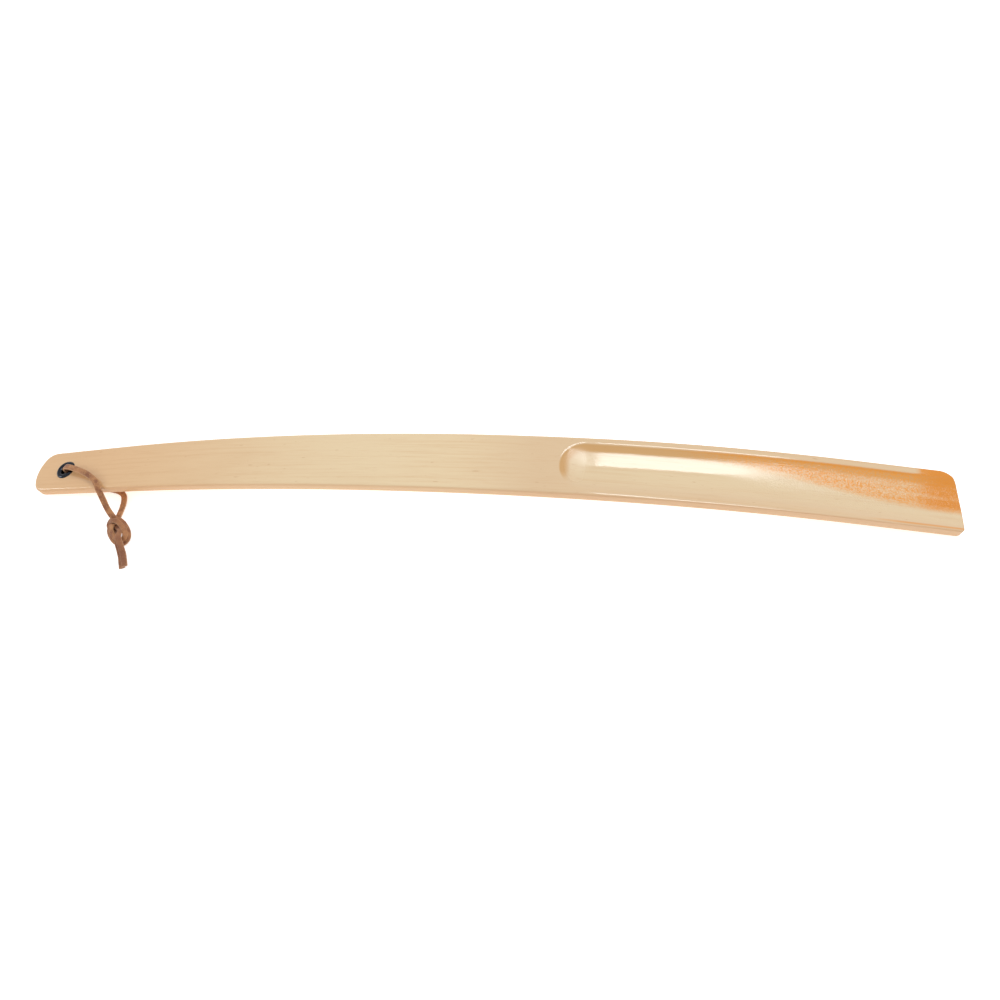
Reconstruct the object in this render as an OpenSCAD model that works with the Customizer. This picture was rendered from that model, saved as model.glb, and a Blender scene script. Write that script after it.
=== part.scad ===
// Long wooden shoehorn with a leather hanging thong.
// It lies on its two ends with the scooped face up: +Z is up, +X runs from the
// handle end to the blade tip, and the thong lies out towards -Y.
// The origin is on the surface it lies on, under the middle of the horn.

/* [Horn] */
// Length of the horn along its bend
horn_l = 555; // [445:5:680]
// Width across the blade
blade_w = 38.6; // [32:0.2:48]
// Width across the handle end
handle_w = 28.6; // [24:0.2:34]
// Distance from the handle end over which the horn widens
taper_l = 378; // [300:1:400]
// Thickness of the wood
horn_t = 6; // [5:0.2:8]
// Radius of the bend, on the underside
bend_r = 1368; // [1100:2:2000]
// Straight stretch at the handle end
handle_flat = 62; // [45:1:80]
// Straight stretch at the blade end
blade_flat = 53; // [30:1:70]
// Radius of the shallow curve across the handle end
handle_round = 22; // [18:1:40]
// Radius of both corners of the handle end
handle_corner = 9; // [6:0.5:11]
// Radius of the shallow curve across the tip
tip_round = 60; // [40:1:120]
// Radius of the rounded corner of the tip
tip_corner = 9.5; // [4:0.5:14]
// Radius of the squarer corner of the tip
tip_square = 3; // [1:0.5:8]

/* [Scoop] */
// Length of the scoop, up to the tip
scoop_l = 220; // [160:1:260]
// Depth of the scoop where it is even
scoop_deep = 3.5; // [2.5:0.1:4.2]
// Radius of the scoop's hollow section
scoop_r = 36; // [30:1:44]

/* [Eyelet] */
// Distance from the handle end to the eyelet
eyelet_at = 22.5; // [19:0.5:32]
// Bore of the eyelet
eyelet_bore = 6.1; // [5.4:0.1:6.6]
// Wall of the eyelet's barrel
eyelet_wall = 0.4; // [0.3:0.05:0.6]
// Diameter of the eyelet's domed flange
flange_d = 12.6; // [10.5:0.1:14]
// Height of the domed flange above the wood
flange_h = 1; // [0.6:0.1:1.4]
// Diameter of the washer on the underside
washer_d = 11.4; // [10:0.1:13]
// Thickness of the washer
washer_t = 0.4; // [0.3:0.05:0.6]
// How far the rolled rim spreads over the washer
rim_w = 1; // [0.7:0.1:1.4]
// Height of the rolled rim
rim_h = 0.4; // [0.3:0.05:0.6]
// Gap round the eyelet's barrel
barrel_gap = 0.05; // [0.02:0.01:0.15]

/* [Thong] */
// Width of the flat leather lace
lace_w = 3.6; // [3:0.1:4]
// Thickness of the lace
lace_t = 1.5; // [1.2:0.1:1.6]
// Length of the knot
knot_l = 24; // [20:1:28]
// Width of the knot
knot_w = 13.5; // [11:0.5:16]
// Height of the knot
knot_h = 6.8; // [6:0.1:8]

/* [Hidden] */

round_n = 96;   // facets of small circles
bend_n = 720;   // facets of the large bend circles
taper_n = 12;   // straight steps along each tapered side
corner_n = 9;   // straight steps round each curve in plan
over = 1;       // how far a cutter passes what it cuts
joint_lap = 0.5; // how far a straight stretch runs into the bend, to join it
joint_step = 0.01; // how much shallower each face of the bend is, so the joints are clean
ball_grow = 0.5; // how much rounder the scoop's ball-shaped start is than its run
ball_dip = 0.05; // how much deeper the start is, so that the two cuts cross cleanly
ball_lead = 1.5; // how far along the bend the run starts after the ball's middle

// The bend: half its angle, and the underside of both ends before the horn is levelled.
half_turn = (horn_l - handle_flat - blade_flat) / bend_r / 2 * 180 / PI;
arc_x = bend_r * sin(half_turn);
arc_z = bend_r * (cos(half_turn) - 1);
handle_end = [-arc_x - handle_flat * cos(half_turn), arc_z - handle_flat * sin(half_turn)];
blade_end = [arc_x + blade_flat * cos(half_turn), arc_z - blade_flat * sin(half_turn)];
chord = norm(blade_end - handle_end);
level = asin((blade_end[1] - handle_end[1]) / chord);
lift = -(handle_end[0] * -sin(level) + handle_end[1] * cos(level));
shift = -(handle_end[0] * cos(level) + handle_end[1] * sin(level)) - chord / 2;

// Half the plan length, out to the upper edge of the end faces.
end_x = chord / 2 + horn_t * sin(half_turn + abs(level));

// The scoop's cutter runs round the bend at this radius.
cutter_r = bend_r + horn_t + scoop_r - scoop_deep;
scoop_turn = half_turn - (scoop_l - blade_flat - sqrt(2 * scoop_r * scoop_deep)) / bend_r * 180 / PI;
scoop_run = half_turn - scoop_turn + (blade_flat + scoop_r - ball_lead) / bend_r * 180 / PI;
run_start = 90 - scoop_run - ball_lead / bend_r * 180 / PI;

// The eyelet's sizes across its axis.
bore_r = eyelet_bore / 2;
barrel_r = bore_r + eyelet_wall;
flange_w = flange_d / 2 - bore_r;
dome_r = (flange_w * flange_w / 4 + flange_h * flange_h) / (2 * flange_h);
rim_dome_r = ((rim_w + eyelet_wall) * (rim_w + eyelet_wall) / 4 + rim_h * rim_h) / (2 * rim_h);

// Where the thong's upright turning axis stands: the middle of the eyelet's bore.
eyelet_foot = handle_end + [eyelet_at * cos(half_turn), eyelet_at * sin(half_turn)]
    + horn_t / 2 * [-sin(half_turn), cos(half_turn)];
thong_x = eyelet_foot[0] * cos(level) + eyelet_foot[1] * sin(level) + shift;

// Where the upper lace leaves the wood, and the height of the wood's top there that its
// route is laid for. On a higher or lower edge the lace's high stretch moves with it.
edge_out = 30;
edge_laid = 14.33;
edge_top = eyelet_foot[1] * cos(level) - eyelet_foot[0] * sin(level) + lift
    + edge_out * tan(half_turn - level) + horn_t / 2 / cos(half_turn - level);

// Routes of the lace, measured from the turning axis at the surface. The last
// number of each point is the heading of the lace there, seen from above.
front_route = [
    [0, 0, 6.5, -20], [0, 0, 8.8, -20], [0.2, 0, 11.1, -20], [1.2, -0.2, 12.9, -20],
    [3.6, -0.6, 14.1, -20], [7.5, -1.7, 14.9, -22], [12.4, -3.4, 15.5, -23],
    [17.6, -5.3, 16, -26], [22.8, -7.9, 16.3, -32], [27.2, -11, 16.4, -43],
    [30.2, -14.2, 16.4, -54], [31.8, -16.9, 15.6, -60], [33, -19.3, 12.8, -62],
    [34, -21.7, 9.3, -60], [35.6, -24.4, 7.2, -56], [37.7, -27, 5.8, -50], [41.2, -30.4, 4.8, -46]];
back_route = [
    [0, 0, 6.5, -20], [0, 0, 4.6, -20], [0.7, -0.3, 2.7, -22], [2.6, -1.1, 1.2, -22],
    [5.5, -2.2, 0.9, -20], [10, -3.7, 0.9, -17], [16, -5.4, 0.9, -14], [22, -6.8, 0.9, -12],
    [28, -8, 0.9, -11], [33.4, -9, 0.9, -14], [37.2, -10.4, 0.9, -30], [39.8, -12.9, 1, -54],
    [41.2, -16.4, 1.2, -72], [42, -20.4, 1.5, -81], [42.5, -24.6, 2, -85],
    [42.9, -30, 2.9, -86]];
front_tail_route = [
    [50, -44, 5.7, -58], [52.2, -47.6, 5.4, -60], [54.2, -51.2, 4.2, -62],
    [55.9, -54.6, 3, -64], [57.4, -58, 2.5, -65], [59, -61.6, 2.4, -66]];
back_tail_route = [
    [48.6, -44.4, 3.8, -58], [50.4, -48, 3.6, -60], [52.2, -51.6, 2.4, -63],
    [53.7, -55, 1.2, -65], [55.2, -58.5, 0.85, -66], [56.8, -62.2, 0.8, -66]];
knot_at = [47.2, -39.2];
knot_heading = -43;

// ---------------------------------------------------------------- horn

// Half the width at a distance s from the handle end.
function half_width(s) =
    blade_w / 2 - (blade_w - handle_w) / 2 * pow(max(0, 1 - s / taper_l), 2);

// Half the width where the handle's corners meet the sides.
end_w = half_width(handle_corner);

// A side of the horn in plan, from past the handle corner to the end of the taper.
function taper_side() = [
    for (i = [1 : taper_n])
        let (s = handle_corner + (taper_l - handle_corner) * i / taper_n)
        [s - end_x, half_width(s)]];

// A point list mirrored to the other long side, in reverse order.
function other_side(points) = [
    for (i = [len(points) - 1 : -1 : 0]) [points[i][0], -points[i][1]]];

// Moves the horn from the frame of its bend to where it lies.
module lying() {
    translate([shift, 0, lift]) rotate([0, level, 0]) children();
}

// Puts children on the underside at the eyelet, with +Z square to the wood.
module at_eyelet() {
    lying()
        translate([handle_end[0], 0, handle_end[1]])
            rotate([0, -half_turn, 0])
                translate([eyelet_at, 0, 0]) children();
}

// Side view of the bent board: an arc with a straight stretch at each end.
module side_profile() {
    intersection() {
        translate([0, -bend_r]) difference() {
            circle(r = bend_r + horn_t - joint_step, $fn = bend_n);
            circle(r = bend_r + joint_step, $fn = bend_n);
        }
        translate([0, -bend_r]) polygon([
            [0, 0],
            2 * bend_r * [sin(half_turn), cos(half_turn)],
            2 * bend_r * [-sin(half_turn), cos(half_turn)]]);
    }
    translate(handle_end) rotate(half_turn) square([handle_flat + joint_lap, horn_t]);
    translate([arc_x, arc_z]) rotate(-half_turn)
        translate([-joint_lap, 0]) square([blade_flat + joint_lap, horn_t]);
}

// Points on part of a circle, from one angle to another. With skip = 1 both end points are
// left out, where the neighbouring arcs already have them.
function arc(centre, r, from, to, skip = 0) = [
    for (k = [skip : corner_n - skip])
        let (a = from + (to - from) * k / corner_n) centre + r * [cos(a), sin(a)]];

// Half the angle that an end's shallow curve takes up before it meets a corner.
function end_turn(round_r, corner_r, w) = asin((w - corner_r) / (round_r - corner_r));

// How far in from the end the centre of a corner lies.
function corner_in(round_r, corner_r, w) =
    round_r - (round_r - corner_r) * cos(end_turn(round_r, corner_r, w));

// Plan of the horn: tapered sides, curved ends, one squarer tip corner.
module plan_outline() {
    side = taper_side();
    tip_w = blade_w / 2;
    handle_x = corner_in(handle_round, handle_corner, end_w) - end_x;
    handle_y = end_w - handle_corner;
    handle_turn = end_turn(handle_round, handle_corner, end_w);
    far_turn = end_turn(tip_round, tip_corner, tip_w);
    near_turn = end_turn(tip_round, tip_square, tip_w);
    polygon(concat(
        arc([handle_x, handle_y], handle_corner, 180 - handle_turn, 90),
        side,
        arc([end_x - corner_in(tip_round, tip_corner, tip_w), tip_w - tip_corner],
            tip_corner, 90, far_turn),
        arc([end_x - tip_round, 0], tip_round, far_turn, -near_turn, 1),
        arc([end_x - corner_in(tip_round, tip_square, tip_w), tip_square - tip_w],
            tip_square, -near_turn, -90),
        other_side(side),
        arc([handle_x, -handle_y], handle_corner, -90, handle_turn - 180),
        arc([handle_round - end_x, 0], handle_round, handle_turn - 180, -180 - handle_turn,
            1)));
}

// Turns children about the bend's centre, from its top to the scoop's start.
module round_bend() {
    translate([0, 0, -bend_r]) rotate([0, scoop_turn, 0]) children();
}

// The round cutter of the scoop, run along the bend and on past the tip.
module scoop_run_cutter() {
    round_bend() rotate([90, 0, 0]) rotate([0, 0, run_start])
        rotate_extrude(angle = scoop_run, $fn = bend_n)
            translate([cutter_r, 0]) circle(r = scoop_r, $fn = 2 * round_n);
}

// The ball end that starts the scoop.
module scoop_start_cutter() {
    round_bend() translate([0, 0, cutter_r + ball_grow - ball_dip])
        sphere(r = scoop_r + ball_grow, $fn = 2 * round_n);
}

module horn_body() {
    color([0.88, 0.74, 0.55]) difference() {
        intersection() {
            lying() rotate([90, 0, 0])
                linear_extrude(height = blade_w + 2 * over, center = true) side_profile();
            translate([0, 0, -over])
                linear_extrude(height = bend_r / 10) plan_outline();
        }
        lying() scoop_run_cutter();
        lying() scoop_start_cutter();
        at_eyelet() translate([0, 0, -over])
            cylinder(r = barrel_r + barrel_gap, h = horn_t + 2 * over, $fn = round_n);
    }
}

// ---------------------------------------------------------------- eyelet

// Barrel through the wood, domed flange on top, rolled rim under the washer.
module eyelet() {
    barrel_bottom = -washer_t - rim_h / 2;
    color([0.13, 0.14, 0.16]) at_eyelet() rotate_extrude($fn = round_n) {
        translate([bore_r, barrel_bottom])
            square([eyelet_wall, horn_t + flange_h / 2 - barrel_bottom]);
        intersection() {
            translate([bore_r + flange_w / 2, horn_t + flange_h - dome_r])
                circle(r = dome_r, $fn = round_n);
            translate([bore_r, horn_t]) square([flange_w, flange_h]);
        }
        intersection() {
            translate([bore_r + (rim_w + eyelet_wall) / 2, -washer_t - rim_h + rim_dome_r])
                circle(r = rim_dome_r, $fn = round_n);
            translate([bore_r, -washer_t - rim_h]) square([rim_w + eyelet_wall, rim_h]);
        }
    }
}

module eyelet_washer() {
    color([0.16, 0.17, 0.19]) at_eyelet() translate([0, 0, -washer_t]) difference() {
        cylinder(d = washer_d, h = washer_t, $fn = round_n);
        translate([0, 0, -over])
            cylinder(r = barrel_r + barrel_gap, h = washer_t + 2 * over, $fn = round_n);
    }
}

// ---------------------------------------------------------------- thong

function unit(v) = v / norm(v);
function spot(p) = [p[0], p[1], p[2]];

// Direction of a route at its point i.
function along(route, i) =
    unit(spot(route[min(i + 1, len(route) - 1)]) - spot(route[max(i - 1, 0)]));

// Corners of the lace's flat section, across it and through its thickness.
function lace_section() = [
    for (q = [[1, -0.4], [1, 0.4], [0.7, 1], [-0.7, 1], [-1, 0.4], [-1, -0.4], [-0.7, -1], [0.7, -1]])
        [q[0] * lace_w / 2, q[1] * lace_t / 2]];

// One ring of the lace: its width lies level, square to the heading.
function lace_ring(route, i) =
    let (across = [-sin(route[i][3]), cos(route[i][3]), 0],
         t = along(route, i),
         side = unit(across - (across * t) * t),
         up = cross(t, side))
    [for (q = lace_section()) spot(route[i]) + q[0] * side + q[1] * up];

// The upper lace's route, with its high stretch moved to the height of the wood's edge.
function resting(route) = [
    for (p = route)
        [p[0], p[1], p[2] + (edge_top - edge_laid) * min(1, max(0, (p[2] - 9.4) / 4)), p[3]]];

module lace(route) {
    rings = len(route);
    n = len(lace_section());
    points = [for (i = [0 : rings - 1]) each lace_ring(route, i)];
    walls = [for (i = [0 : rings - 2]) for (k = [0 : n - 1])
        let (a = i * n + k, b = i * n + (k + 1) % n) each [[a, b, a + n], [b, b + n, a + n]]];
    start = [[for (k = [n - 1 : -1 : 0]) k]];
    finish = [[for (k = [0 : n - 1]) (rings - 1) * n + k]];
    color([0.62, 0.36, 0.22]) translate([thong_x, 0, 0])
        polyhedron(points, concat(start, walls, finish));
}

// Outer shape of the overhand knot, lying on the surface.
module strap_knot() {
    run = knot_l - knot_w;
    color([0.66, 0.4, 0.25])
        translate([thong_x + knot_at[0], knot_at[1], 0]) rotate(knot_heading)
            linear_extrude(height = knot_h) {
                square([run, knot_w], center = true);
                for (x = [-run / 2, run / 2]) translate([x, 0]) circle(d = knot_w, $fn = round_n);
            }
}

module strap_front() { lace(resting(front_route)); }
module strap_back() { lace(back_route); }
module strap_tail_front() { lace(front_tail_route); }
module strap_tail_back() { lace(back_tail_route); }

horn_body();
eyelet();
eyelet_washer();
strap_front();
strap_back();
strap_knot();
strap_tail_front();
strap_tail_back();
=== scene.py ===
"""Looks of a long wooden shoehorn with a knotted leather hanging thong.

The horn lies on its two ends on a pale floor. Sizes are in metres and repeat
the driving sizes of the part, so each piece lies where its CAD solid does.
"""
import math

import bmesh
import bpy
import numpy as np
from mathutils import Matrix, Vector


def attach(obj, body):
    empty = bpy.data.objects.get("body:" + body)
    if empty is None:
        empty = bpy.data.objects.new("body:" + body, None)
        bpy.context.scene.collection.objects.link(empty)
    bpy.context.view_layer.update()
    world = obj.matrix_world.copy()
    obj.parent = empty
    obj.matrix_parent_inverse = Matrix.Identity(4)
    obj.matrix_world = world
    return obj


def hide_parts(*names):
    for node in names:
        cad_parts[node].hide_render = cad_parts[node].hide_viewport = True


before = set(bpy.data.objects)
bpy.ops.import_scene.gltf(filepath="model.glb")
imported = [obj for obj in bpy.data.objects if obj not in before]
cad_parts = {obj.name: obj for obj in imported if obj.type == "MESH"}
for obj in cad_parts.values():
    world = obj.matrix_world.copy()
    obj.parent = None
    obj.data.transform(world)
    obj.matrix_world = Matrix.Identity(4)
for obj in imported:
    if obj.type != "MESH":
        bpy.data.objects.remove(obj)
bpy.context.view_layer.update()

MM = 0.001

# ---------------------------------------------------------------- sizes of the part, in mm

HORN_L, BLADE_W, HANDLE_W, TAPER_L, HORN_T = 555, 38.6, 28.6, 378, 6
BEND_R, HANDLE_FLAT, BLADE_FLAT = 1368, 62, 53
HANDLE_ROUND, HANDLE_CORNER = 22, 9
TIP_ROUND, TIP_CORNER, TIP_SQUARE = 60, 9.5, 3
SCOOP_L, SCOOP_DEEP, SCOOP_R = 220, 3.5, 36
EYELET_AT, EYELET_BORE, EYELET_WALL = 22.5, 6.1, 0.4
FLANGE_D, FLANGE_H, WASHER_D, WASHER_T, RIM_W, RIM_H = 12.6, 1, 11.4, 0.4, 1, 0.4
BARREL_GAP = 0.05
LACE_W, LACE_T = 3.6, 1.5

BORE_R = EYELET_BORE / 2
BARREL_R = BORE_R + EYELET_WALL

# The bend: half its angle, the underside of both ends, and the turn that levels it.
HALF_TURN = (HORN_L - HANDLE_FLAT - BLADE_FLAT) / BEND_R / 2
ARC_X = BEND_R * math.sin(HALF_TURN)
ARC_Z = BEND_R * (math.cos(HALF_TURN) - 1)
HANDLE_END = (-ARC_X - HANDLE_FLAT * math.cos(HALF_TURN), ARC_Z - HANDLE_FLAT * math.sin(HALF_TURN))
BLADE_END = (ARC_X + BLADE_FLAT * math.cos(HALF_TURN), ARC_Z - BLADE_FLAT * math.sin(HALF_TURN))
CHORD = math.dist(HANDLE_END, BLADE_END)
LEVEL = math.asin((BLADE_END[1] - HANDLE_END[1]) / CHORD)
LIFT = HANDLE_END[0] * math.sin(LEVEL) - HANDLE_END[1] * math.cos(LEVEL)
SHIFT = -(HANDLE_END[0] * math.cos(LEVEL) + HANDLE_END[1] * math.sin(LEVEL)) - CHORD / 2
END_TILT = HALF_TURN - LEVEL  # how far the handle's straight end rises


def lying(x, z):
    """From the frame of the bend to where the horn lies, in mm."""
    return (x * math.cos(LEVEL) + z * math.sin(LEVEL) + SHIFT,
            -x * math.sin(LEVEL) + z * math.cos(LEVEL) + LIFT)


def board_to_world(s, y, v):
    """World points in metres of places on the board: s along its underside from
    the handle end, y across it and v up square to the underside, all in mm."""
    bent = np.clip(s, HANDLE_FLAT, HORN_L - BLADE_FLAT)
    turn = (bent - HANDLE_FLAT) / BEND_R - HALF_TURN
    on = s - bent
    x = BEND_R * np.sin(turn) + on * np.cos(turn) + v * np.sin(turn)
    z = BEND_R * (np.cos(turn) - 1) - on * np.sin(turn) + v * np.cos(turn)
    wx, wz = lying(x, z)
    return np.stack([wx, y, wz], -1) * MM


def world_to_board(points):
    """The same places back from world points, as s, y and v in mm."""
    x, z = points[:, 0] / MM - SHIFT, points[:, 2] / MM - LIFT
    x, z = x * math.cos(LEVEL) - z * math.sin(LEVEL), x * math.sin(LEVEL) + z * math.cos(LEVEL)
    turn = np.clip(np.arctan2(x, z + BEND_R), -HALF_TURN, HALF_TURN)
    foot_x, foot_z = BEND_R * np.sin(turn), BEND_R * (np.cos(turn) - 1)
    on = (x - foot_x) * np.cos(turn) - (z - foot_z) * np.sin(turn)
    v = (x - foot_x) * np.sin(turn) + (z - foot_z) * np.cos(turn)
    return (turn + HALF_TURN) * BEND_R + HANDLE_FLAT + on, points[:, 1] / MM, v


EYELET_FOOT = lying(HANDLE_END[0] + EYELET_AT * math.cos(HALF_TURN),
                    HANDLE_END[1] + EYELET_AT * math.sin(HALF_TURN))
THONG_X = EYELET_FOOT[0] - HORN_T / 2 * math.sin(END_TILT)


def smooth_step(low, high, value):
    t = np.clip((value - low) / (high - low), 0, 1)
    return t * t * (3 - 2 * t)


# ---------------------------------------------------------------- camera

CAMERA_RISE = 0.999     # angle above the floor, in radians
CAMERA_SIDE = 0.271     # how far round towards the tip it stands
CAMERA_ROLL = -0.195
CAMERA_AWAY = 0.480
CAMERA_AIM = Vector((0.0227, -0.0056, 0.0004))
CAMERA_LENS, CAMERA_SENSOR = 29.35, 36


def make_camera():
    rise, side, roll = CAMERA_RISE, CAMERA_SIDE, CAMERA_ROLL
    back = Vector((math.sin(side) * math.cos(rise), -math.cos(side) * math.cos(rise), math.sin(rise)))
    right = Vector((math.cos(side), math.sin(side), 0))
    up = back.cross(right)
    right, up = (right * math.cos(roll) + up * math.sin(roll),
                 up * math.cos(roll) - right * math.sin(roll))
    data = bpy.data.cameras.new("camera")
    data.lens, data.sensor_width = CAMERA_LENS, CAMERA_SENSOR
    data.clip_start, data.clip_end = 0.01, 50
    camera = bpy.data.objects.new("camera", data)
    bpy.context.scene.collection.objects.link(camera)
    camera.matrix_world = Matrix.Translation(CAMERA_AIM + back * CAMERA_AWAY) @ Matrix(
        (right, up, back)).transposed().to_4x4()
    bpy.context.scene.camera = camera


# ---------------------------------------------------------------- mesh helpers

def mesh_object(name, points, faces, smooth=True):
    """A mesh object at the origin, from points in metres."""
    mesh = bpy.data.meshes.new(name)
    mesh.from_pydata([tuple(p) for p in points], [], [tuple(f) for f in faces])
    mesh.validate()
    mesh.polygons.foreach_set("use_smooth", [smooth] * len(mesh.polygons))
    mesh.update()
    piece = bpy.data.objects.new(name, mesh)
    bpy.context.scene.collection.objects.link(piece)
    return piece


def point_values(piece, name, values):
    """Stores one number or one vector for each point, for the materials to read."""
    values = np.asarray(values, np.float32)
    if values.ndim == 1:
        piece.data.attributes.new(name, "FLOAT", "POINT").data.foreach_set("value", values)
    else:
        layer = piece.data.attributes.new(name, "FLOAT_VECTOR", "POINT")
        layer.data.foreach_set("vector", values.ravel())


def point_places(piece):
    places = np.zeros(len(piece.data.vertices) * 3, np.float32)
    piece.data.vertices.foreach_get("co", places)
    return places.reshape(-1, 3).astype(float)


# ---------------------------------------------------------------- thong

# Routes of the lace in mm, from the middle of the eyelet. The last number is the
# heading of the lace there, seen from above: its width lies level, square to it.
FRONT_ROUTE = [
    (0, 0, 6.5, -20), (0, 0, 8.8, -20), (0.2, 0, 11.1, -20), (1.2, -0.2, 12.9, -20),
    (3.6, -0.6, 14.1, -20), (7.5, -1.7, 14.9, -22), (12.4, -3.4, 15.5, -23),
    (17.6, -5.3, 16, -26), (22.8, -7.9, 16.3, -32), (27.2, -11, 16.4, -43),
    (30.2, -14.2, 16.4, -54), (31.8, -16.9, 15.6, -60), (33, -19.3, 12.8, -62),
    (34, -21.7, 9.3, -60), (35.6, -24.4, 7.2, -56), (37.7, -27, 5.8, -50), (40.2, -29.4, 5, -46)]
BACK_ROUTE = [
    (0, 0, 6.5, -20), (0, 0, 4.6, -20), (0.7, -0.3, 2.7, -22), (2.6, -1.1, 1.2, -22),
    (5.5, -2.2, 0.9, -20), (10, -3.7, 0.9, -17), (16, -5.4, 0.9, -14), (22, -6.8, 0.9, -12),
    (28, -8, 0.9, -11), (33.4, -9, 0.9, -14), (37.2, -10.4, 0.9, -30), (39.8, -12.9, 1, -54),
    (41.2, -16.4, 1.2, -72), (42, -20.4, 1.5, -81), (42.5, -24.6, 2, -85),
    (42.8, -28.6, 2.6, -86)]
# The knot: a place in mm, and how far the lace's top leans outwards, in degrees.
KNOT_RUN = [
    (42.2, -31.6, 1.7, 0), (41.0, -34.4, 3.0, 6), (41.4, -37.8, 3.6, 16),
    (43.2, -41.2, 3.2, 22), (46.0, -44.0, 2.3, 18), (49.4, -45.4, 1.7, 8),
    (52.3, -45.0, 2.2, 20), (53.6, -42.4, 3.1, 30), (52.4, -38.8, 3.9, 30),
    (49.7, -35.6, 4.6, 24), (46.6, -33.2, 4.8, 16), (43.2, -31.8, 4.8, 6),
    (40.2, -32.2, 4.0, 4), (39.4, -34.3, 2.4, 2), (42.4, -36.0, 1.7, 0),
    (45.7, -37.8, 2.6, 0), (48.4, -40.6, 4.3, 0)]
FRONT_TAIL = [
    (50, -44, 5.7, -58), (52.2, -47.6, 5.4, -60), (54.2, -51.2, 4.2, -62),
    (55.9, -54.6, 3, -64), (57.4, -58, 2.5, -65), (59, -61.6, 2.4, -66)]
BACK_TAIL = [
    (48.6, -44.4, 3.8, -58), (50.4, -48, 3.6, -60), (52.2, -51.6, 2.4, -63),
    (53.7, -55, 1.2, -65), (55.2, -58.5, 0.85, -66), (56.8, -62.2, 0.8, -66)]
PAIR_GAP = 0.70      # half the spacing of the two laces through the knot
PAIR_SLIDE = 2.2     # how far the upper lace sits to the inside of the lower
KNOT_SQUEEZE = 0.86  # how much narrower the lace is where the knot pinches it
RING_STEP = 0.4      # spacing of the lace's rings
LACE_SIDES = 20      # points round the lace's section
FLOOR_CLEAR = 0.06   # how far the lace's underside stays above the surface it lies on


def spline_through(points, step):
    """Even steps of a smooth curve through given points: a centripetal spline."""
    p = np.asarray(points, float)
    p = np.vstack([2 * p[0] - p[1], p, 2 * p[-1] - p[-2]])
    knots = np.concatenate([[0], np.cumsum(np.linalg.norm(np.diff(p[:, :3], axis=0), axis=1) ** 0.5)])
    out = []
    for i in range(1, len(p) - 2):
        k0, k1, k2, k3 = knots[i - 1:i + 3]
        count = max(2, int(round(np.linalg.norm(p[i + 1, :3] - p[i, :3]) / step * 4)))
        t = np.linspace(k1, k2, count, endpoint=False)[:, None]
        a1 = (k1 - t) / (k1 - k0) * p[i - 1] + (t - k0) / (k1 - k0) * p[i]
        a2 = (k2 - t) / (k2 - k1) * p[i] + (t - k1) / (k2 - k1) * p[i + 1]
        a3 = (k3 - t) / (k3 - k2) * p[i + 1] + (t - k2) / (k3 - k2) * p[i + 2]
        b1 = (k2 - t) / (k2 - k0) * a1 + (t - k0) / (k2 - k0) * a2
        b2 = (k3 - t) / (k3 - k1) * a2 + (t - k1) / (k3 - k1) * a3
        out.append((k2 - t) / (k2 - k1) * b1 + (t - k1) / (k2 - k1) * b2)
    fine = np.vstack(out + [p[-2:-1]])
    run = np.concatenate([[0], np.cumsum(np.linalg.norm(np.diff(fine[:, :3], axis=0), axis=1))])
    even = np.linspace(0, run[-1], int(round(run[-1] / step)) + 1)
    return np.stack([np.interp(even, run, fine[:, k]) for k in range(fine.shape[1])], 1)


def eased(values, passes):
    """Evens out a run of rows without moving its two ends."""
    values = values.copy()
    for _ in range(passes):
        values[1:-1] = (values[:-2] + 2 * values[1:-1] + values[2:]) / 4
    return values


def level_heading(route):
    """Heading in degrees, seen from above, at each point of a run of places."""
    step = np.gradient(np.asarray(route, float)[:, :2], axis=0)
    return np.degrees(np.unwrap(np.arctan2(step[:, 1], step[:, 0])))


def nearest_turn(headings, start):
    """The same headings, in whole turns that follow on from a first one."""
    return np.degrees(np.unwrap(np.radians(np.concatenate([[start], headings]))))[1:]


def strand_route(lead_in, tail, upper):
    """One lace from the eyelet, through the knot, to its cut end: x, y, z, heading,
    lean, and how far it is inside the knot."""
    knot = np.array(KNOT_RUN, float)
    heading = nearest_turn(level_heading(knot), lead_in[-1][3])
    along, lean = np.radians(heading), np.radians(knot[:, 3])
    left = np.stack([-np.sin(along), np.cos(along), 0 * along], 1)
    out = left * np.sin(-lean)[:, None] + np.array([0, 0, 1]) * np.cos(lean)[:, None]
    side = 1 if upper else -1
    middle = knot[:, :3] + side * PAIR_GAP * out + side * PAIR_SLIDE / 2 * left
    rows = [(*p[:3], p[3], 0, 0) for p in lead_in]
    rows += [(*m, h, k[3], 1) for m, h, k in zip(middle, heading, knot)]
    tail_heading = nearest_turn([p[3] for p in tail], heading[-1])
    rows += [(*p[:3], h, 0, 0) for p, h in zip(tail, tail_heading)]
    route = spline_through(rows, RING_STEP)
    route[:, 3:] = eased(route[:, 3:], 12)
    route[:, :3] = eased(route[:, :3], 4)
    return route


def lace_section():
    """A flat section with rounded edges and faintly domed faces, from -1 to 1."""
    turn = np.linspace(0, 2 * np.pi, LACE_SIDES, endpoint=False)
    c, s = np.cos(turn), np.sin(turn)
    return np.stack([np.sign(c) * np.abs(c) ** 0.45, np.sign(s) * np.abs(s) ** 0.62], 1)


def lace_directions(route):
    """At each point of a route, the direction across the lace and the one out of its face."""
    place, heading, lean = route[:, :3], np.radians(route[:, 3]), np.radians(route[:, 4])
    t = np.gradient(place, axis=0)
    t /= np.linalg.norm(t, axis=1)[:, None]
    across = np.stack([-np.sin(heading), np.cos(heading), 0 * heading], 1)
    side = across - (across * t).sum(1)[:, None] * t
    side /= np.linalg.norm(side, axis=1)[:, None]
    top = np.cross(t, side)
    return (side * np.cos(lean)[:, None] + top * np.sin(lean)[:, None],
            top * np.cos(lean)[:, None] - side * np.sin(lean)[:, None])


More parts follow.
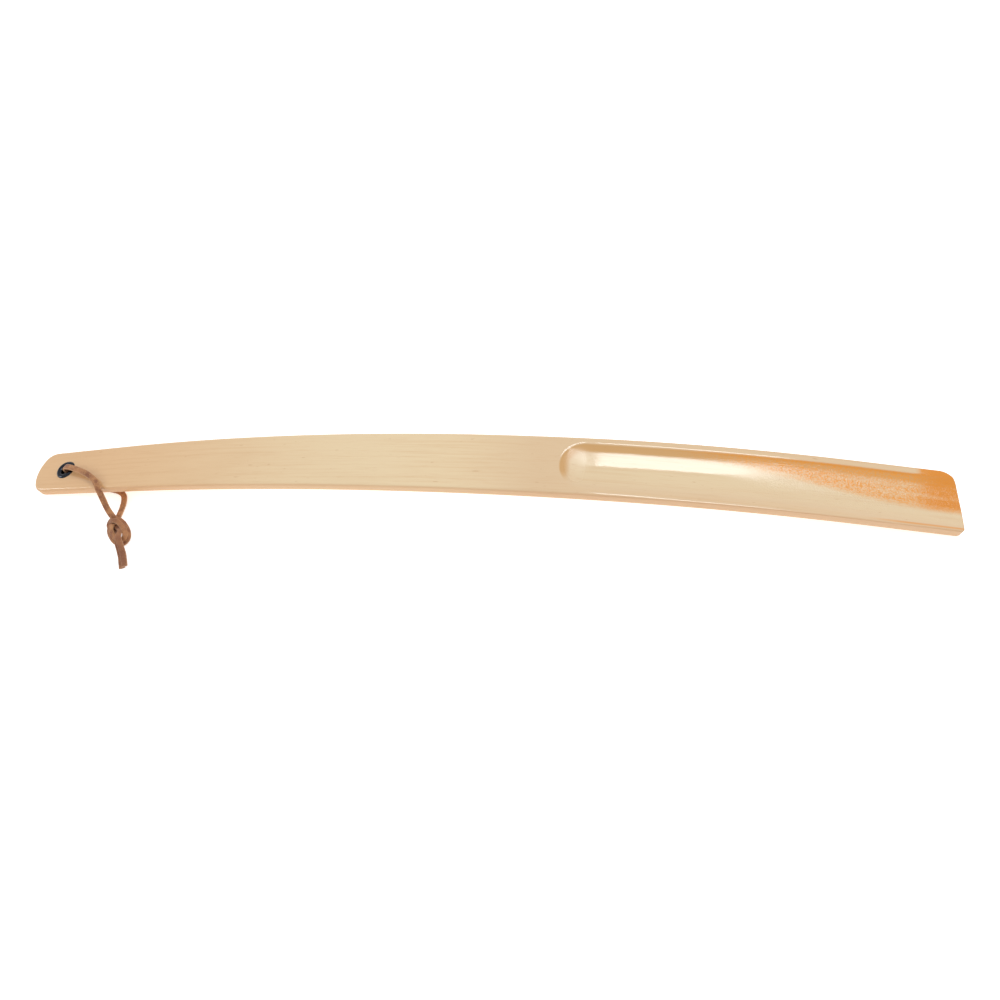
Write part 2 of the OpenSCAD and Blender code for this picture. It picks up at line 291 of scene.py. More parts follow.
def tube_faces(count, n):
    """Faces of a tube of rings, closed by a fan round one more point at each end."""
    faces = [(i * n + k, i * n + (k + 1) % n, (i + 1) * n + (k + 1) % n, (i + 1) * n + k)
             for i in range(count - 1) for k in range(n)]
    faces += [(count * n, (k + 1) % n, k) for k in range(n)]
    last = (count - 1) * n
    return faces + [(count * n + 1, last + k, last + (k + 1) % n) for k in range(n)]


def make_lace(name, route, seed):
    """A closed flat tube along a route, with hand-cut edges that wander a little."""
    place, knotted = route[:, :3], np.clip(route[:, 5], 0, 1)
    side, top = lace_directions(route)
    run = np.arange(len(place)) * RING_STEP
    draw = np.random.default_rng(seed)
    wander = sum(draw.uniform(0.3, 1) * np.sin(run / w + draw.uniform(0, 6.3)) for w in (0.9, 1.7, 3.4))
    half_w = LACE_W / 2 * (1 - (1 - KNOT_SQUEEZE) * knotted) * (1 + 0.018 * wander)
    half_t = LACE_T / 2 * (1 - 0.1 * knotted) * (1 + 0.02 * np.roll(wander, 9))
    section = lace_section()
    rings = (place[:, None] + section[None, :, :1] * half_w[:, None, None] * side[:, None]
             + section[None, :, 1:] * half_t[:, None, None] * top[:, None])
    rings[:, :, 2] = np.maximum(rings[:, :, 2], FLOOR_CLEAR)
    n, count = LACE_SIDES, len(place)
    points = np.vstack([rings.reshape(-1, 3), place[:1], place[-1:]]) * MM
    piece = mesh_object(name, points, tube_faces(count, n))
    sharp_ends(piece, count * n)
    where = np.zeros((len(points), 3))
    where[:-2, 0] = np.repeat(run, n)
    where[-1, 0] = run[-1]
    where[:-2, 1] = np.tile(section[:, 0], count) * LACE_W / 2
    where[:-2, 2] = np.tile(section[:, 1], count) * LACE_T / 2
    point_values(piece, "lace", where + np.array([0, 10 * seed, 0]))
    edge = np.zeros(len(points))
    edge[:-2] = np.tile(smooth_step(0.8, 1.0, np.abs(section[:, 0])), count)
    edge[-2:] = 1
    point_values(piece, "cut_edge", edge)
    return piece, place * MM


def sharp_ends(piece, first_middle):
    """The cut ends of a lace are flat: their faces aren't smoothed into its sides."""
    for face in piece.data.polygons:
        if max(face.vertices) >= first_middle:
            face.use_smooth = False


def shifted(route):
    """A route moved from the middle of the eyelet to its place along the horn."""
    moved = route.copy()
    moved[:, 0] += THONG_X
    return moved


def make_thong(leather):
    """The lace, doubled through the eyelet and tied in one overhand knot."""
    halves = [("thong_upper", FRONT_ROUTE, FRONT_TAIL, True, 3, ["strap_front", "strap_tail_front"]),
              ("thong_lower", BACK_ROUTE, BACK_TAIL, False, 5,
               ["strap_back", "strap_tail_back", "strap_knot"])]
    for name, lead_in, tail, upper, seed, nodes in halves:
        piece, path = make_lace(name, shifted(strand_route(lead_in, tail, upper)), seed)
        piece.data.materials.append(leather)
        length = float(np.linalg.norm(np.diff(path, axis=0), axis=1).sum())
        print(name, "is", round(length / MM, 1), "mm long")
        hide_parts(*nodes)
        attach(piece, "strap")


# ---------------------------------------------------------------- horn

ARRIS_HANDLE, ARRIS_BLADE = 1.9, 0.7   # rounding of the long edges, near each end
ARRIS_TIP = 0.5                        # rounding of the tip's own edge
ARRIS_UNDER = 1.2                      # rounding of the underside's edges
EDGE_BAND = 2.4                        # closely spaced columns along each edge
EDGE_COLUMNS, FACE_COLUMNS = 9, 92
SCOOP_START = HORN_L - SCOOP_L + math.sqrt(2 * SCOOP_R * SCOOP_DEEP)  # middle of its round end
MASKS = ("gouge", "wall", "gold_and_shade", "deep_gold_and_shade", "near_lip_shade", "arris")
FIRST_ROW = 0.02                       # the end rows stop this far short of the two ends
NEAR_RIM_SLIDE = 2.9                   # how far the near rim runs out towards the tip
FAR_SOFT, NEAR_SOFT = 0.12, 0.75       # how much the scoop's two rims are sanded over


def half_width(s):
    return BLADE_W / 2 - (BLADE_W - HANDLE_W) / 2 * np.maximum(0, 1 - s / TAPER_L) ** 2


def corner_spots():
    """Each corner in plan: centre, radius, which end and side it is on, the end's
    curve, and the angle at which it meets that curve."""
    handle_w = float(half_width(HANDLE_CORNER))
    corners = [(HANDLE_ROUND, HANDLE_CORNER, handle_w, -1, 1),
               (HANDLE_ROUND, HANDLE_CORNER, handle_w, -1, -1),
               (TIP_ROUND, TIP_CORNER, BLADE_W / 2, 1, 1), (TIP_ROUND, TIP_SQUARE, BLADE_W / 2, 1, -1)]
    for end_r, r, w, end, side in corners:
        turn = math.asin((w - r) / (end_r - r))
        inward = end_r - (end_r - r) * math.cos(turn)
        yield (inward if end < 0 else HORN_L - inward), side * (w - r), r, end, side, end_r, turn


def side_limits(s):
    """Lowest and highest y of the plan outline at a distance s."""
    limits = {-1: half_width(s), 1: half_width(s)}
    for centre_s, centre_y, r, end, side, end_r, turn in corner_spots():
        out = (s - centre_s) * end
        from_end = s if end < 0 else HORN_L - s
        corner = abs(centre_y) + np.sqrt(np.maximum(0, r * r - out * out))
        curve = np.sqrt(np.maximum(0, end_r ** 2 - (end_r - from_end) ** 2))
        limits[side] = np.where(out > 0, np.where(out > r * math.cos(turn), curve, corner), limits[side])
    return -limits[-1], limits[1]


def from_outline(s, y):
    """Distance in from the plan outline."""
    d = half_width(s) - np.abs(y)
    d = np.minimum(d, HANDLE_ROUND - np.hypot(np.minimum(s - HANDLE_ROUND, 0), y * (s < HANDLE_ROUND)))
    tip = HORN_L - TIP_ROUND
    d = np.minimum(d, TIP_ROUND - np.hypot(np.maximum(s - tip, 0), y * (s > tip)))
    for centre_s, centre_y, r, end, side, _, turn in corner_spots():
        out, up = (s - centre_s) * end, (y - centre_y) * side
        inside = (out > 0) & (up * math.cos(turn) > out * math.sin(turn))
        d = np.where(inside, r - np.hypot(out, up), d)
    return np.maximum(d, 0)


def rounding(d, r):
    """How far an edge of radius r drops at a distance d in from it."""
    return r - np.sqrt(np.maximum(0, r * r - (r - np.minimum(d, r)) ** 2))


def scoop_drop(s, y):
    """Depth of the scoop below the flat face, with its rims sanded over."""
    near = smooth_step(85, 35, HORN_L - s) * (y < 0)
    rim = math.sqrt(SCOOP_R ** 2 - (SCOOP_R - SCOOP_DEEP) ** 2)
    across = y * rim / (rim + NEAR_RIM_SLIDE * near)
    away = np.hypot(np.minimum(s - SCOOP_START, 0), across)
    cut = SCOOP_R - SCOOP_DEEP - np.sqrt(SCOOP_R ** 2 - np.minimum(away, SCOOP_R - 1) ** 2)
    soft = FAR_SOFT + (NEAR_SOFT - FAR_SOFT) * smooth_step(4, -9, y) * smooth_step(12, 52, HORN_L - s)
    mix = np.clip(0.5 + 0.5 * cut / soft, 0, 1)
    return -(cut * (1 - mix) - soft * mix * (1 - mix))


def board_rows():
    """Distances s of the mesh's rows: close at both ends and where the scoop starts."""
    fan = 1 - np.cos(np.linspace(0, math.pi / 2, 34)[1:])
    start, finish = (HANDLE_CORNER + 3) * fan, HORN_L - (TIP_CORNER + 3) * fan[::-1]
    rim = HORN_L - SCOOP_L
    return np.unique(np.round(np.concatenate([
        [FIRST_ROW], start, np.arange(start[-1] + 2, rim - 6, 3.0), np.arange(rim - 6, rim + 24, 0.5),
        np.arange(rim + 24, finish[0] - 1, 2.0), finish, [HORN_L - FIRST_ROW]]), 3))


def board_columns(s):
    """The y of every column in each row: close along the two long edges."""
    low, high = side_limits(s)
    quarter = np.linspace(0, math.pi / 2, EDGE_COLUMNS)
    edge = np.minimum(EDGE_BAND, (high - low) / 5)[:, None] * (1 - np.cos(quarter))
    inner = np.linspace(0, 1, FACE_COLUMNS + 2)[1:-1]
    left = low[:, None] + edge
    right = high[:, None] - edge[:, ::-1]
    middle = left[:, -1:] + (right[:, :1] - left[:, -1:]) * inner
    return np.concatenate([left, middle, right], 1)


def scoop_masks(s, y, v):
    """Where the wood is gouged, where the gouge's far wall is (for painted shade), where it turns golden
    (a deeper orange of the wood with painted shade), the line along the tip's near lip (for painted
    shade), and the rounded edges (for painted shade and rougher lacquer)."""
    drop, to_tip = scoop_drop(s, y), HORN_L - s
    on_top = smooth_step(HORN_T - SCOOP_DEEP - 2.2, HORN_T - SCOOP_DEEP - 0.4, v)
    gouge = np.clip(drop / SCOOP_DEEP, 0, 1) * on_top
    # Far wall and round end of the scoop, for painted shade.
    wall = smooth_step(0.15, 0.5, drop) * smooth_step(9.3, 11.5, y) * on_top
    start_wall_shade = (smooth_step(0.1, 0.4, drop) * smooth_step(8.5, 12.5, np.hypot(
        np.minimum(s - SCOOP_START, 0), np.maximum(y, 0) * (s < SCOOP_START)))
        * smooth_step(SCOOP_START - 2, SCOOP_START - 9, s) * smooth_step(-13, -3, y))
    # The golden zone: a deeper orange of the wood with painted shade.
    reach = 10.2 - 14.5 * smooth_step(138, 14, to_tip)
    gold_and_shade = (smooth_step(176, 78, to_tip) * smooth_step(reach - 3.5, reach + 2.5, y)
            * smooth_step(0.05, 0.4, drop + 1.2 * smooth_step(26, 8, to_tip)) * on_top)
    deep = gold_and_shade * np.maximum(smooth_step(30, 12, to_tip), 0.8 * smooth_step(13.2, 14.6, y))
    # Rounded edges, for painted shade and rougher lacquer.
    arris = smooth_step(1.0, 0.2, from_outline(s, y))
    # Line along the tip's near lip, for painted shade.
    near_lip_shade = smooth_step(58, 30, to_tip) * smooth_step(1.1, 0.2, np.abs(y + 17.3)) * on_top
    return gouge, np.maximum(wall, start_wall_shade), gold_and_shade, deep, near_lip_shade, arris


def make_horn(wood):
    """The bent board as one closed mesh, with the eyelet's hole cut through it."""
    s = board_rows()
    y = board_columns(s)
    rows, columns = y.shape
    s = np.repeat(s[:, None], columns, 1)
    d = from_outline(s, y)
    arris = ARRIS_HANDLE + (ARRIS_BLADE - ARRIS_HANDLE) * smooth_step(250, 125, HORN_L - s)
    arris = arris - (ARRIS_BLADE - ARRIS_TIP) * smooth_step(12, 2, HORN_L - s)
    top = HORN_T - rounding(d, arris) - scoop_drop(s, y)
    under = rounding(d, np.minimum(ARRIS_UNDER, top * 0.3 + 0.15))
    top = np.maximum(top, under + 0.6)
    points = np.vstack([board_to_world(s, y, top).reshape(-1, 3),
                        board_to_world(s, y, under).reshape(-1, 3)])
    grid = np.arange(rows * columns).reshape(rows, columns)
    low = grid + rows * columns
    quads = np.stack([grid[:-1, :-1], grid[1:, :-1], grid[1:, 1:], grid[:-1, 1:]], -1).reshape(-1, 4)
    lower = np.stack([low[:-1, :-1], low[:-1, 1:], low[1:, 1:], low[1:, :-1]], -1).reshape(-1, 4)
    rim = np.concatenate([grid[0, :], grid[1:, -1], grid[-1, -2::-1], grid[-2:0:-1, 0]])
    after = np.roll(rim, -1)
    wall = np.stack([rim, after, after + rows * columns, rim + rows * columns], 1)
    piece = mesh_object("horn_wood", points, np.vstack([quads, lower, wall]))
    cut_eyelet_hole(piece)
    s, y, v = world_to_board(point_places(piece))
    point_values(piece, "board", np.stack([s, y, v], 1) * MM)
    for name, values in zip(MASKS, scoop_masks(s, y, v)):
        point_values(piece, name, values)
    piece.data.materials.append(wood)
    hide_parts("horn_body")
    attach(piece, "horn")


def eyelet_place():
    """Turns and moves a piece made upright on the origin to the eyelet, in mm."""
    turn = Matrix.Rotation(-END_TILT, 4, "Y")
    return Matrix.Translation((EYELET_FOOT[0], 0, EYELET_FOOT[1])) @ turn


def cut_eyelet_hole(piece):
    profile = [(0, -4), (BARREL_R + BARREL_GAP, -4), (BARREL_R + BARREL_GAP, 12), (0, 12)]
    cutter = lathe("hole_cutter", profile, 96, closed=False)
    cut = piece.modifiers.new("eyelet_hole", "BOOLEAN")
    cut.operation, cut.solver, cut.object = "DIFFERENCE", "EXACT", cutter
    bpy.context.view_layer.update()
    done = bpy.data.meshes.new_from_object(piece.evaluated_get(bpy.context.evaluated_depsgraph_get()))
    piece.modifiers.clear()
    piece.data = done
    bpy.data.objects.remove(cutter)
    done.polygons.foreach_set("use_smooth", [True] * len(done.polygons))
    done.set_sharp_from_angle(angle=math.radians(50))


# ---------------------------------------------------------------- eyelet

def lathe(name, profile, steps, closed=True):
    """Turns a profile of (radius, height) in mm about the eyelet's axis. A closed
    profile makes a ring; an open one starts and ends on the axis."""
    turned = [p for p in profile if closed or p[0] > 0]
    points = [(r * math.cos(a), r * math.sin(a), z)
              for a in (2 * math.pi * k / steps for k in range(steps)) for r, z in turned]
    n = len(turned)
    faces = [(k * n + i, (k + 1) % steps * n + i,
              (k + 1) % steps * n + (i + 1) % n, k * n + (i + 1) % n)
             for k in range(steps) for i in range(n if closed else n - 1)]
    if not closed:
        faces.append([k * n for k in reversed(range(steps))])
        faces.append([k * n + n - 1 for k in range(steps)])
    place = Matrix.Scale(MM, 4) @ eyelet_place()
    return mesh_object(name, [place @ Vector(p) for p in points], faces)


def arc_points(start, end, height, count):
    """A shallow arch over two points of a profile, from the first to the last."""
    half = abs(end[0] - start[0]) / 2
    r = (half * half + height * height) / (2 * abs(height))
    lift = math.copysign(1, height)
    middle = (start[0] + end[0]) / 2
    sweep = math.asin(min(1, half / r))
    way = math.copysign(1, end[0] - start[0])
    return [(middle + way * r * math.sin(a), start[1] + height - lift * r * (1 - math.cos(a)))
            for a in (sweep * (2 * k / count - 1) for k in range(count + 1))]


def make_eyelet(metal):
    flange_out = (FLANGE_D / 2, HORN_T)
    flange_in = (BORE_R, HORN_T)
    rim_in = (BORE_R, -WASHER_T)
    rim_out = (BORE_R + RIM_W + EYELET_WALL, -WASHER_T)
    profile = (arc_points(flange_in, flange_out, FLANGE_H, 22)
               + [(BARREL_R + 0.02, HORN_T + 0.01), (BARREL_R, HORN_T - 0.3), (BARREL_R, -WASHER_T + 0.2),
                  (BARREL_R + 0.02, -WASHER_T)]
               + arc_points(rim_out, rim_in, -RIM_H, 12))
    eyelet = lathe("eyelet_metal", profile, 128)
    washer_in, washer_out, edge = BARREL_R + BARREL_GAP, WASHER_D / 2, 0.1
    washer = lathe("washer_metal", [
        (washer_in, 0), (washer_out - edge, 0), (washer_out, -edge), (washer_out, edge - WASHER_T),
        (washer_out - edge, -WASHER_T), (washer_in, -WASHER_T)], 128)
    for piece, node in ((eyelet, "eyelet"), (washer, "eyelet_washer")):
        bpy.context.view_layer.update()
        face_out(piece)
        piece.data.set_sharp_from_angle(angle=math.radians(40))
        piece.data.materials.append(metal)
        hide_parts(node)
        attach(piece, "horn")


def face_out(piece):
    """Recalculates a closed mesh's normals so that they point outwards."""
    work = bmesh.new()
    work.from_mesh(piece.data)
    bmesh.ops.recalc_face_normals(work, faces=work.faces)
    work.to_mesh(piece.data)
    work.free()


# ---------------------------------------------------------------- materials

def srgb(r, g, b):
    """A colour given in 0 to 255 display values, as the shader's linear values."""
    lift = [c / 255 / 12.92 if c <= 10 else ((c / 255 + 0.055) / 1.055) ** 2.4 for c in (r, g, b)]
    return (*lift, 1)


class Nodes:
    """Short calls to lay out and join the nodes of one material or group."""

    def __init__(self, tree):
        self.tree = tree

    def add(self, kind, **settings):
        node = self.tree.nodes.new(kind)
        for name, value in settings.items():
            setattr(node, name, value)
        return node

    def join(self, source, target):
        self.tree.links.new(source, target)

    def feed(self, socket, value):
        if isinstance(value, bpy.types.NodeSocket):
            self.join(value, socket)
        else:
            socket.default_value = value

    def maths(self, operation, a, b=0.0, clamp=False):
        node = self.add("ShaderNodeMath", operation=operation, use_clamp=clamp)
        self.feed(node.inputs[0], a)
        self.feed(node.inputs[1], b)
        return node.outputs[0]

    def blend(self, amount, a, b):
        node = self.add("ShaderNodeMix", data_type="RGBA", blend_type="MIX", clamp_factor=True)
        self.feed(node.inputs["Factor"], amount)
        self.feed(node.inputs[6], a)
        self.feed(node.inputs[7], b)
        return node.outputs[2]

    def spread(self, value, low, high, to_low=0.0, to_high=1.0):
        node = self.add("ShaderNodeMapRange", interpolation_type="SMOOTHSTEP")
        for socket, number in zip(node.inputs, (value, low, high, to_low, to_high)):
            self.feed(socket, number)
        return node.outputs[0]

    def reading(self, name, vector=False):
        node = self.add("ShaderNodeAttribute", attribute_name=name)
        return node.outputs["Vector" if vector else "Fac"]

    def stretched(self, place, scale):
        node = self.add("ShaderNodeMapping")
        self.feed(node.inputs["Vector"], place)
        node.inputs["Scale"].default_value = scale
        return node.outputs[0]

    def noise(self, place, scale, detail=3.0, roughness=0.55):
        node = self.add("ShaderNodeTexNoise")
        self.feed(node.inputs["Vector"], place)
        self.feed(node.inputs["Scale"], scale)
        node.inputs["Detail"].default_value = detail
        node.inputs["Roughness"].default_value = roughness
        return node.outputs["Fac"]

    def bump(self, height, strength, distance, under=None):
        node = self.add("ShaderNodeBump")
        node.inputs["Strength"].default_value = strength
        node.inputs["Distance"].default_value = distance
        self.feed(node.inputs["Height"], height)
        if under is not None:
            self.feed(node.inputs["Normal"], under)
        return node.outputs[0]

    def use(self, group, **values):
        node = self.add("ShaderNodeGroup", node_tree=group)
        for name, value in values.items():
            self.feed(node.inputs[name.replace("_", " ").capitalize()], value)
        return node.outputs


def make_group(name, inputs, outputs):
    """A shader node group with named sockets. Returns it, its nodes, and its ends."""
    group = bpy.data.node_groups.new(name, "ShaderNodeTree")
    for socket, kind, value in inputs:
        made = group.interface.new_socket(socket, in_out="INPUT", socket_type=kind)
        if value is not None:
            made.default_value = value
    for socket, kind in outputs:
        group.interface.new_socket(socket, in_out="OUTPUT", socket_type=kind)
    nodes = Nodes(group)
    return group, nodes, nodes.add("NodeGroupInput").outputs, nodes.add("NodeGroupOutput").inputs


def make_mottle_group():
    """Soft patches that drift in tone, from 0 to 1, centred on one half."""
    group, n, given, out = make_group(
        "soft_mottle",
        [("Place", "NodeSocketVector", None), ("Size", "NodeSocketFloat", 100.0),
         ("Contrast", "NodeSocketFloat", 1.0)],
        [("Mottle", "NodeSocketFloat")])
    patches = n.noise(given["Place"], given["Size"], 4.0, 0.6)
    centred = n.maths("SUBTRACT", patches, 0.5)
    spread = n.maths("MULTIPLY", centred, given["Contrast"])
    n.join(n.maths("ADD", spread, 0.5, clamp=True), out["Mottle"])
    return group


def make_speck_group():
    """Small specks: 1 inside each, 0 between them. Amount is how many show."""
    group, n, given, out = make_group(
        "specks",
        [("Place", "NodeSocketVector", None), ("Size", "NodeSocketFloat", 1000.0),
         ("Amount", "NodeSocketFloat", 0.3)],
        [("Specks", "NodeSocketFloat")])
    grain = n.noise(given["Place"], given["Size"], 1.0, 0.5)
    limit = n.maths("SUBTRACT", 0.74, n.maths("MULTIPLY", given["Amount"], 0.34))
    above = n.maths("SUBTRACT", grain, limit)
    n.join(n.maths("MULTIPLY", above, 14.0, clamp=True), out["Specks"])
    return group


def new_material(name):
    material = bpy.data.materials.new(name)
    material.use_nodes = True
    nodes = Nodes(material.node_tree)
    shader = material.node_tree.nodes["Principled BSDF"]
    return material, nodes, shader


# Painted light and shade along the board: darker at the handle and the waist, paler in the middle,
# another tone in the scoop.
WOOD_HANDLE = srgb(224, 181, 133)
WOOD_MIDDLE = srgb(229, 204, 164)
WOOD_WAIST = srgb(217, 186, 147)
WOOD_BLADE = srgb(222, 197, 158)
# Painted shade on the scoop's far wall and its round end.
WOOD_WALL_SHADE = srgb(200, 150, 86)
# A deeper orange of the wood with painted shade, towards the tip; the deeper one also paints shade along
# the tip's near lip.
WOOD_GOLD_AND_SHADE = srgb(224, 144, 40)
WOOD_DEEP_GOLD_AND_SHADE = srgb(216, 132, 18)
# Grain streaks, and painted shade along the rounded edges.
WOOD_STREAK_AND_EDGE_SHADE = srgb(196, 142, 88)
WOOD_FLECK = srgb(170, 112, 66)
LACQUER_IOR = 1.68


def make_wood(mottle, specks):
    """Pale close-grained wood under a thin glossy lacquer."""
    material, n, shader = new_material("lacquered_wood")
    board = n.reading("board", vector=True)
    apart = n.add("ShaderNodeSeparateXYZ")
    n.join(board, apart.inputs[0])
    along = apart.outputs[0]
    gouge, gold_and_shade, arris = n.reading("gouge"), n.reading("gold_and_shade"), n.reading("arris")
    streaks = n.use(mottle, place=n.stretched(board, (0.025, 1.0, 1.0)), size=520.0, contrast=2.2)
    tone = wood_grain_and_shading(n, board, along, gouge, streaks, mottle, specks)
    tone = scoop_tone(n, board, tone, gold_and_shade, mottle, specks)
    # Painted shade along the rounded edges.
    tone = n.blend(n.maths("MULTIPLY", arris, 0.55), tone, WOOD_STREAK_AND_EDGE_SHADE)
    n.join(tone, shader.inputs["Base Color"])
    torn_zone = n.maths("MULTIPLY", gouge, n.maths("MAXIMUM", gold_and_shade, n.spread(along, 0.415, 0.475)))
    rough = n.spread(streaks[0], 0.3, 0.9, 0.07, 0.1)
    rough = n.maths("ADD", rough, n.maths("MULTIPLY", torn_zone, 0.12))
    rough = n.maths("ADD", rough, n.maths("MULTIPLY", arris, 0.4))
    first_dip = n.maths("MULTIPLY", gouge, n.spread(along, 0.342, 0.356, 0.5, 0.0))
    n.join(n.maths("ADD", rough, first_dip), shader.inputs["Roughness"])
    shader.inputs["IOR"].default_value = LACQUER_IOR
    ripple = n.noise(n.stretched(board, (0.3, 1.0, 1.0)), 260.0, 3.0, 0.6)
    first = n.bump(ripple, 0.2, 0.00012)
    pitted = n.maths("MULTIPLY", n.noise(board, 1350.0, 2.0, 0.6), torn_zone)
    n.join(n.bump(pitted, 1.0, 0.00028, first), shader.inputs["Normal"])
    return material


def wood_grain_and_shading(n, board, along, gouge, streaks, mottle, specks):
    """Painted light and shade that drift along the board (in metres), with the wood's grain."""
    # Painted light and shade: darker at the handle and the waist, paler in the middle, another tone in
    # the scoop.
    tone = n.blend(n.spread(along, 0.03, 0.23), WOOD_HANDLE, WOOD_MIDDLE)
    tone = n.blend(n.spread(along, 0.27, 0.33), tone, WOOD_WAIST)
    tone = n.blend(gouge, tone, WOOD_BLADE)
    patches = n.use(mottle, place=n.stretched(board, (0.3, 1.6, 1.6)), size=38.0, contrast=1.4)
    fine = n.use(mottle, place=n.stretched(board, (0.05, 1.0, 1.0)), size=1900.0, contrast=2.4)
    flecks = n.use(specks, place=n.stretched(board, (0.28, 1.0, 1.0)), size=620.0, amount=0.05)
    tone = n.blend(n.spread(patches[0], 0.5, 1.0, 0.0, 0.16), tone, WOOD_STREAK_AND_EDGE_SHADE)
    tone = n.blend(n.spread(streaks[0], 0.45, 1.0, 0.0, 0.18), tone, WOOD_STREAK_AND_EDGE_SHADE)
    tone = n.blend(n.spread(fine[0], 0.5, 1.0, 0.0, 0.13), tone, WOOD_STREAK_AND_EDGE_SHADE)
    return n.blend(n.maths("MULTIPLY", flecks[0], 0.3), tone, WOOD_FLECK)


def scoop_tone(n, board, tone, gold_and_shade, mottle, specks):
    """Painted shade on the scoop's far wall, the golden tone towards the tip (a deeper orange of the wood
    with painted shade) and painted shade along the tip's near lip.
    """
    wall, deep, near_lip_shade = n.reading("wall"), n.reading("deep_gold_and_shade"), n.reading("near_lip_shade")
    # Painted shade on the far wall and the scoop's round end.
    tone = n.blend(n.maths("MULTIPLY", wall, 0.85), tone, WOOD_WALL_SHADE)
    # Speckled golden tone: a deeper orange of the wood with painted shade.
    gold_shade_specks = n.use(specks, place=n.stretched(board, (0.7, 1.0, 1.0)), size=1250.0, amount=0.78)
    drift = n.use(mottle, place=n.stretched(board, (0.1, 1.0, 1.0)), size=240.0, contrast=2.6)
    golden = n.maths("MULTIPLY", gold_and_shade, n.spread(drift[0], 0.0, 0.7, 0.62, 1.0))
    golden = n.maths("MULTIPLY", golden, n.spread(gold_shade_specks[0], 0.0, 1.0, 0.5, 1.0), clamp=True)
    tone = n.blend(golden, tone, WOOD_GOLD_AND_SHADE)
    rich = n.maths("MULTIPLY", deep, n.spread(drift[0], 0.1, 0.8, 0.55, 1.0), clamp=True)
    tone = n.blend(rich, tone, WOOD_DEEP_GOLD_AND_SHADE)
    # Painted shade along the tip's near lip.
    return n.blend(n.maths("MULTIPLY", near_lip_shade, 0.75), tone, WOOD_DEEP_GOLD_AND_SHADE)


LEATHER_FACE = srgb(178, 122, 77)
LEATHER_DEEP = srgb(134, 82, 50)
LEATHER_PALE = srgb(214, 168, 118)
# Painted shade on the lace's tail.
LEATHER_TAIL_SHADE = srgb(126, 74, 50)


def make_leather(mottle, specks):
    """Matt split leather lace with raw, paler cut edges."""
    material, n, shader = new_material("split_leather")
    place = n.stretched(n.reading("lace", vector=True), (MM, MM, MM))
    cut = n.reading("cut_edge")
    patches = n.use(mottle, place=place, size=160.0, contrast=2.6)
    fibre = n.use(mottle, place=n.stretched(place, (0.45, 1.0, 1.0)), size=1900.0, contrast=2.2)
    pits = n.use(specks, place=place, size=1500.0, amount=0.25)
    tone = n.blend(n.spread(patches[0], 0.15, 0.85), LEATHER_DEEP, LEATHER_FACE)
    tone = n.blend(n.spread(fibre[0], 0.5, 1.0, 0.0, 0.55), tone, LEATHER_PALE)
    tone = n.blend(n.maths("MULTIPLY", pits[0], 0.45), tone, LEATHER_DEEP)
    tone = n.blend(n.maths("MULTIPLY", cut, 0.4), tone, LEATHER_PALE)
    apart = n.add("ShaderNodeSeparateXYZ")
    n.join(place, apart.inputs[0])
    # Painted shade: each lace darkens towards its tail.
    tone = n.blend(n.spread(apart.outputs[0], 0.06, 0.13, 0.0, 0.5), tone, LEATHER_TAIL_SHADE)
    n.join(tone, shader.inputs["Base Color"])
    n.join(n.spread(fibre[0], 0.2, 0.9, 0.62, 0.85), shader.inputs["Roughness"])
    shader.inputs["Sheen Weight"].default_value = 0.15
    shader.inputs["Sheen Roughness"].default_value = 0.5
    nap = n.bump(fibre[0], 0.6, 0.00012)
    n.join(n.bump(patches[0], 0.4, 0.0003, nap), shader.inputs["Normal"])
    return material


METAL_DARK = srgb(50, 53, 60)
METAL_WORN = srgb(120, 122, 128)


def make_metal(mottle, specks):
    """Glossy gunmetal plating with faint handling marks."""
    material, n, shader = new_material("gunmetal_plating")
    place = n.add("ShaderNodeTexCoord").outputs["Object"]
    patches = n.use(mottle, place=place, size=420.0, contrast=2.0)
    marks = n.use(specks, place=n.stretched(place, (1.0, 0.35, 1.0)), size=2600.0, amount=0.16)
    tone = n.blend(n.maths("MULTIPLY", marks[0], 0.5), METAL_DARK, METAL_WORN)
    n.join(tone, shader.inputs["Base Color"])
    n.join(n.spread(patches[0], 0.2, 0.9, 0.07, 0.16), shader.inputs["Roughness"])
    shader.inputs["Metallic"].default_value = 1.0
    n.join(n.bump(patches[0], 0.08, 0.0002), shader.inputs["Normal"])
    return material


def make_floor_material(mottle):
    material, n, shader = new_material("pale_floor")
    place = n.add("ShaderNodeTexCoord").outputs["Object"]
    patches = n.use(mottle, place=place, size=3.0, contrast=0.6)
    n.join(n.blend(patches[0], *FLOOR_TONES), shader.inputs["Base Color"])
    shader.inputs["Roughness"].default_value = 1.0
    shader.inputs["Specular IOR Level"].default_value = 0.0
    shader.inputs["Emission Color"].default_value = (1, 1, 1, 1)
    shader.inputs["Emission Strength"].default_value = FLOOR_GLOW
    return material


# ---------------------------------------------------------------- floor and light

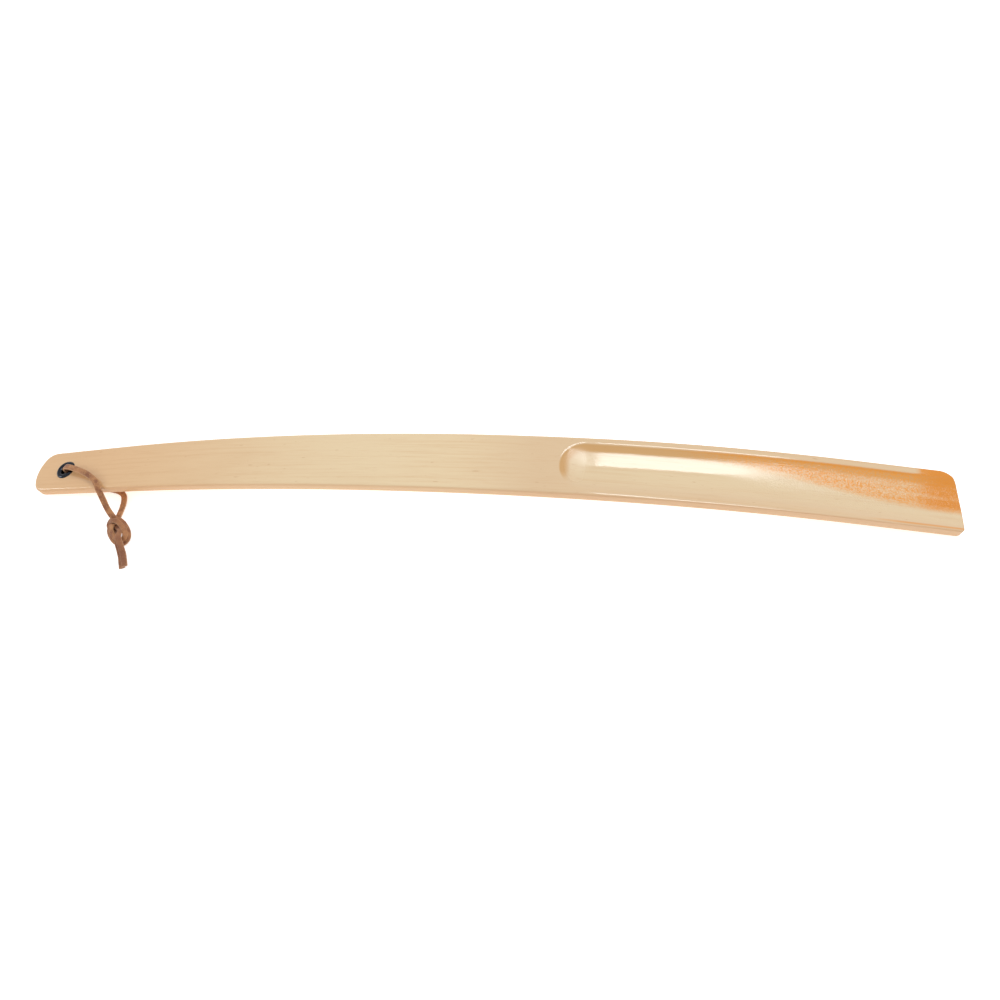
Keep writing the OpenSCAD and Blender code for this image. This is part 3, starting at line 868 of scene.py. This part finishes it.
FLOOR_HALF = 4.0
FLOOR_TONES = (0.93, 0.93, 0.93, 1), (0.95, 0.95, 0.95, 1)
FLOOR_GLOW = 0.55                      # the light table's own light, which softens the shadow
FILL_WHITE = 0.74                      # even light from all round
PANEL_TINT = (0.9, 0.96, 1.0)
PANEL_AT, PANEL_SIZE, PANEL_WATTS = (0.40, 0.27, 1.0), (0.50, 0.46), 4.7
SIDE_AT, SIDE_SIZE, SIDE_WATTS = (-1.0, -0.2, 0.36), (0.3, 0.3), 1.2


def make_floor(material):
    corners = [(-FLOOR_HALF, -FLOOR_HALF, 0), (FLOOR_HALF, -FLOOR_HALF, 0),
               (FLOOR_HALF, FLOOR_HALF, 0), (-FLOOR_HALF, FLOOR_HALF, 0)]
    floor = mesh_object("floor", corners, [(0, 1, 2, 3)], smooth=False)
    floor.data.materials.append(material)


def make_light():
    world = bpy.data.worlds.new("soft_fill")
    world.use_nodes = True
    world.node_tree.nodes["Background"].inputs["Color"].default_value = (1, 1, 1, 1)
    world.node_tree.nodes["Background"].inputs["Strength"].default_value = FILL_WHITE
    bpy.context.scene.world = world
    bpy.context.scene.view_settings.view_transform = "Standard"
    light_panel("softbox", PANEL_AT, (PANEL_AT[0], PANEL_AT[1], 0), PANEL_SIZE, PANEL_WATTS)
    light_panel("side_panel", SIDE_AT, (THONG_X * MM, 0, 0), SIDE_SIZE, SIDE_WATTS)


def light_panel(name, place, aim, size, watts):
    """A square-cornered panel light that faces a point."""
    data = bpy.data.lights.new(name, "AREA")
    data.shape, data.size, data.size_y = "RECTANGLE", *size
    data.energy = watts
    data.color = PANEL_TINT
    panel = bpy.data.objects.new(name, data)
    panel.location = place
    panel.rotation_euler = (Vector(aim) - Vector(place)).to_track_quat("-Z", "Y").to_euler()
    bpy.context.scene.collection.objects.link(panel)


# ---------------------------------------------------------------- making it all

mottle, specks = make_mottle_group(), make_speck_group()
make_camera()
make_thong(make_leather(mottle, specks))
make_horn(make_wood(mottle, specks))
make_eyelet(make_metal(mottle, specks))
make_floor(make_floor_material(mottle))
make_light()
